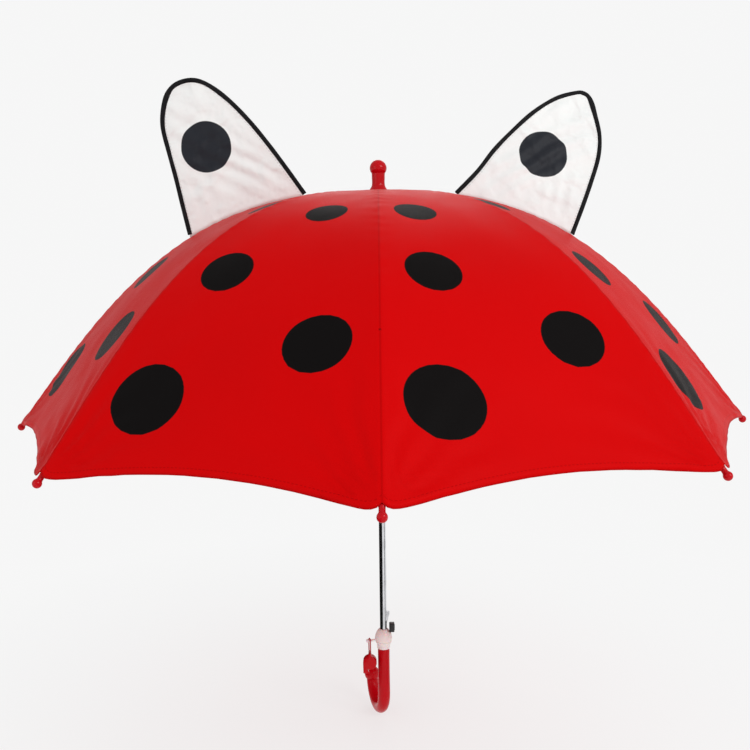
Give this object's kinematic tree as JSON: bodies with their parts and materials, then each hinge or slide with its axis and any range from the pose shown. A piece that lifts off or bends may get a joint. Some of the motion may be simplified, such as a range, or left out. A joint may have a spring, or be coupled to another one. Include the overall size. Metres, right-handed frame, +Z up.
{
  "type": "umbrella",
  "caption": "Children's umbrella with a spotted red dome canopy, two upright ears, folding steel ribs and stretchers, sliding runner, crook handle and a hanging whistle.",
  "frame": {"origin": "the point on the shaft's axis where a hand holds the straight part of the grip", "axes": "+Z up the shaft to the finial; +Y points away from the front of the umbrella; +X to the right, towards the right ear"},
  "size_m": [0.729, 0.729, 0.6505],
  "materials": {
    "canopy_fabric": "tightly woven coated cloth with a soft sheen, black printed spots",
    "ear_fabric": "thin white satin-like cloth with one black printed spot",
    "ear_binding": "black folded binding tape",
    "shaft_chrome": "bright plated steel tube",
    "frame_steel": "zinc plated steel strip",
    "red_plastic": "glossy moulded plastic",
    "black_plastic": "satin moulded plastic",
    "collar_plastic": "milky blush moulded plastic",
    "whistle_cord": "thin braided cord"
  },
  "bodies": {
    "shaft": {"shaft": "shaft_chrome", "finial": "red_plastic", "crown": "black_plastic", "canopy": "canopy_fabric", "collar": "collar_plastic", "handle": "red_plastic"},
    "runner": {"runner": "black_plastic"},
    "release_button": {"release_button": "black_plastic"},
    "open_catch": {"open_catch": "frame_steel"},
    "closed_catch": {"closed_catch": "frame_steel"},
    "whistle": {"whistle": "red_plastic", "whistle_cord": "whistle_cord"},
    "rib_1": {"rib_1": "frame_steel", "rib_tip_1": "red_plastic", "rib_clip_1": "frame_steel"},
    "stretcher_1": {"stretcher_1": "frame_steel"},
    "rib_2": {"rib_2": "frame_steel", "rib_tip_2": "red_plastic", "rib_clip_2": "frame_steel"},
    "stretcher_2": {"stretcher_2": "frame_steel"},
    "rib_3": {"rib_3": "frame_steel", "rib_tip_3": "red_plastic", "rib_clip_3": "frame_steel", "ear_right": "ear_fabric", "ear_trim_right": "ear_binding"},
    "stretcher_3": {"stretcher_3": "frame_steel"},
    "rib_4": {"rib_4": "frame_steel", "rib_tip_4": "red_plastic", "rib_clip_4": "frame_steel"},
    "stretcher_4": {"stretcher_4": "frame_steel"},
    "rib_5": {"rib_5": "frame_steel", "rib_tip_5": "red_plastic", "rib_clip_5": "frame_steel"},
    "stretcher_5": {"stretcher_5": "frame_steel"},
    "rib_6": {"rib_6": "frame_steel", "rib_tip_6": "red_plastic", "rib_clip_6": "frame_steel"},
    "stretcher_6": {"stretcher_6": "frame_steel"},
    "rib_7": {"rib_7": "frame_steel", "rib_tip_7": "red_plastic", "rib_clip_7": "frame_steel", "ear_left": "ear_fabric", "ear_trim_left": "ear_binding"},
    "stretcher_7": {"stretcher_7": "frame_steel"},
    "rib_8": {"rib_8": "frame_steel", "rib_tip_8": "red_plastic", "rib_clip_8": "frame_steel"},
    "stretcher_8": {"stretcher_8": "frame_steel"}
  },
  "joints": [
    {"name": "runner_slide", "type": "slide", "parent": "shaft", "child": "runner", "axis": [0, 0, 1], "range_m": [-0.26331, 0], "deforming": ["canopy"]},
    {"name": "rib_1_fold", "type": "hinge", "parent": "shaft", "child": "rib_1", "pos_m": [0, -0.009, 0.481], "axis": [1, 0, 0], "range_deg": [0, 56.03]},
    {"name": "stretcher_1_fold", "type": "hinge", "parent": "runner", "child": "stretcher_1", "pos_m": [0, -0.0095, 0.345], "axis": [-1, 0, 0], "range_deg": [0, 51.25]},
    {"name": "rib_2_fold", "type": "hinge", "parent": "shaft", "child": "rib_2", "pos_m": [0.00636, -0.00636, 0.481], "axis": [0.7071, 0.7071, 0], "range_deg": [0, 56.03]},
    {"name": "stretcher_2_fold", "type": "hinge", "parent": "runner", "child": "stretcher_2", "pos_m": [0.00672, -0.00672, 0.345], "axis": [-0.7071, -0.7071, 0], "range_deg": [0, 51.25]},
    {"name": "rib_3_fold", "type": "hinge", "parent": "shaft", "child": "rib_3", "pos_m": [0.009, 0, 0.481], "axis": [0, 1, 0], "range_deg": [0, 56.03]},
    {"name": "stretcher_3_fold", "type": "hinge", "parent": "runner", "child": "stretcher_3", "pos_m": [0.0095, 0, 0.345], "axis": [0, -1, 0], "range_deg": [0, 51.25]},
    {"name": "rib_4_fold", "type": "hinge", "parent": "shaft", "child": "rib_4", "pos_m": [0.00636, 0.00636, 0.481], "axis": [-0.7071, 0.7071, 0], "range_deg": [0, 56.03]},
    {"name": "stretcher_4_fold", "type": "hinge", "parent": "runner", "child": "stretcher_4", "pos_m": [0.00672, 0.00672, 0.345], "axis": [0.7071, -0.7071, 0], "range_deg": [0, 51.25]},
    {"name": "rib_5_fold", "type": "hinge", "parent": "shaft", "child": "rib_5", "pos_m": [0, 0.009, 0.481], "axis": [-1, 0, 0], "range_deg": [0, 56.03]},
    {"name": "stretcher_5_fold", "type": "hinge", "parent": "runner", "child": "stretcher_5", "pos_m": [0, 0.0095, 0.345], "axis": [1, 0, 0], "range_deg": [0, 51.25]},
    {"name": "rib_6_fold", "type": "hinge", "parent": "shaft", "child": "rib_6", "pos_m": [-0.00636, 0.00636, 0.481], "axis": [-0.7071, -0.7071, 0], "range_deg": [0, 56.03]},
    {"name": "stretcher_6_fold", "type": "hinge", "parent": "runner", "child": "stretcher_6", "pos_m": [-0.00672, 0.00672, 0.345], "axis": [0.7071, 0.7071, 0], "range_deg": [0, 51.25]},
    {"name": "rib_7_fold", "type": "hinge", "parent": "shaft", "child": "rib_7", "pos_m": [-0.009, 0, 0.481], "axis": [0, -1, 0], "range_deg": [0, 56.03]},
    {"name": "stretcher_7_fold", "type": "hinge", "parent": "runner", "child": "stretcher_7", "pos_m": [-0.0095, 0, 0.345], "axis": [0, 1, 0], "range_deg": [0, 51.25]},
    {"name": "rib_8_fold", "type": "hinge", "parent": "shaft", "child": "rib_8", "pos_m": [-0.00636, -0.00636, 0.481], "axis": [0.7071, -0.7071, 0], "range_deg": [0, 56.03]},
    {"name": "stretcher_8_fold", "type": "hinge", "parent": "runner", "child": "stretcher_8", "pos_m": [-0.00672, -0.00672, 0.345], "axis": [-0.7071, 0.7071, 0], "range_deg": [0, 51.25]},
    {"name": "release_button_press", "type": "slide", "parent": "shaft", "child": "release_button", "axis": [-1, 0, 0], "range_m": [0, 0.0022], "stiffness_N_per_m": 300},
    {"name": "open_catch_press", "type": "slide", "parent": "shaft", "child": "open_catch", "axis": [-1, 0, 0], "range_m": [0, 0.003], "stiffness_N_per_m": 300},
    {"name": "closed_catch_press", "type": "slide", "parent": "shaft", "child": "closed_catch", "axis": [-1, 0, 0], "range_m": [0, 0.003], "stiffness_N_per_m": 300},
    {"name": "whistle_swing", "type": "hinge", "parent": "shaft", "child": "whistle", "pos_m": [-0.01428, -0.0052, 0.0347], "axis": [-0.9397, -0.342, 0], "range_deg": [-25, 25]}
  ],
  "couplings": [
    {"joint": "rib_1_fold", "follows": "runner_slide", "rad_per_m": -3.7104},
    {"joint": "stretcher_1_fold", "follows": "runner_slide", "rad_per_m": -3.3939},
    {"joint": "rib_2_fold", "follows": "runner_slide", "rad_per_m": -3.7104},
    {"joint": "stretcher_2_fold", "follows": "runner_slide", "rad_per_m": -3.3939},
    {"joint": "rib_3_fold", "follows": "runner_slide", "rad_per_m": -3.7104},
    {"joint": "stretcher_3_fold", "follows": "runner_slide", "rad_per_m": -3.3939},
    {"joint": "rib_4_fold", "follows": "runner_slide", "rad_per_m": -3.7104},
    {"joint": "stretcher_4_fold", "follows": "runner_slide", "rad_per_m": -3.3939},
    {"joint": "rib_5_fold", "follows": "runner_slide", "rad_per_m": -3.7104},
    {"joint": "stretcher_5_fold", "follows": "runner_slide", "rad_per_m": -3.3939},
    {"joint": "rib_6_fold", "follows": "runner_slide", "rad_per_m": -3.7104},
    {"joint": "stretcher_6_fold", "follows": "runner_slide", "rad_per_m": -3.3939},
    {"joint": "rib_7_fold", "follows": "runner_slide", "rad_per_m": -3.7104},
    {"joint": "stretcher_7_fold", "follows": "runner_slide", "rad_per_m": -3.3939},
    {"joint": "rib_8_fold", "follows": "runner_slide", "rad_per_m": -3.7104},
    {"joint": "stretcher_8_fold", "follows": "runner_slide", "rad_per_m": -3.3939}
  ]
}
